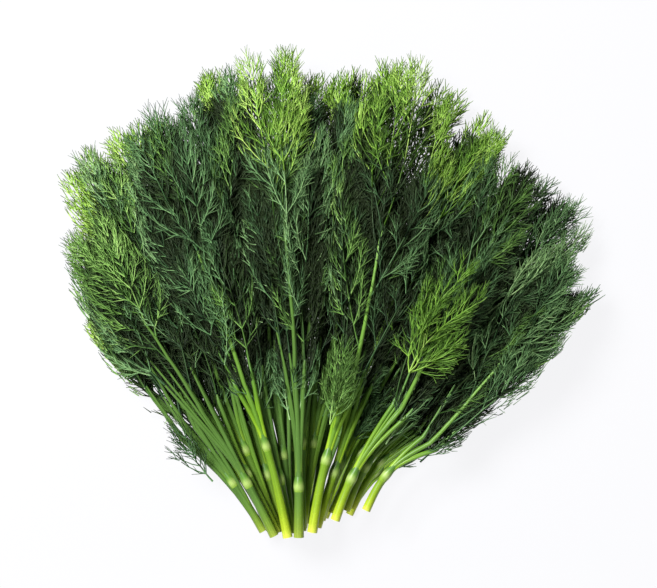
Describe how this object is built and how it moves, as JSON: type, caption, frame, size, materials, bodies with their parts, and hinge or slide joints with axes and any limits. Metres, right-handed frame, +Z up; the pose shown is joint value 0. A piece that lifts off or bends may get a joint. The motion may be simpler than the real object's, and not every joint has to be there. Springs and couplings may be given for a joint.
{
  "type": "bunch of dill",
  "caption": "Bunch of fresh dill lying flat: cut green stems fanning out from a loose neck into a broad mass of fine feathery fronds.",
  "frame": {"origin": "on the surface that the bunch rests on, under the middle of its bounding box", "axes": "+Z up from the surface, +Y from the cut stem ends to the frond tips, +X across the fan to the right as seen from above with the cut ends nearest"},
  "size_m": [0.3032, 0.2868, 0.0555],
  "materials": {
    "stem": "smooth waxy plant skin, yellow-green at the cut, bluer above",
    "frond": "fine thread leaves, dark blue-green with a dull bloom",
    "young_frond": "fine thread leaves, fresh yellow-green"
  },
  "bodies": {
    "root": {"folded_leaf": "young_frond", "frond_01": "frond", "frond_02": "frond", "frond_03": "frond", "frond_04": "frond", "frond_05": "frond", "frond_06": "frond", "frond_07": "frond", "frond_08": "frond", "frond_09": "frond", "frond_10": "frond", "frond_11": "frond", "frond_12": "frond", "frond_13": "frond", "frond_14": "frond", "frond_15": "frond", "frond_16": "frond", "frond_17": "frond", "frond_18": "frond", "frond_19": "frond", "frond_20": "frond", "frond_21": "frond", "frond_22": "frond", "frond_23": "frond", "frond_24": "frond", "frond_25": "frond", "frond_26": "frond", "frond_27": "frond", "frond_28": "frond", "side_sprig": "frond", "stem_01": "stem", "stem_02": "stem", "stem_03": "stem", "stem_04": "stem", "stem_05": "stem", "stem_06": "stem", "stem_07": "stem", "stem_08": "stem", "stem_09": "stem", "stem_10": "stem", "stem_11": "stem", "stem_12": "stem", "stem_13": "stem", "stem_14": "stem", "stem_15": "stem", "stem_16": "stem", "stem_17": "stem", "stem_18": "stem", "stem_19": "stem", "stem_20": "stem", "stem_21": "stem", "stem_22": "stem", "stem_23": "stem", "stem_24": "stem", "stem_25": "stem", "stem_26": "stem", "stem_27": "stem", "stem_28": "stem", "young_leaf": "young_frond"}
  },
  "joints": []
}
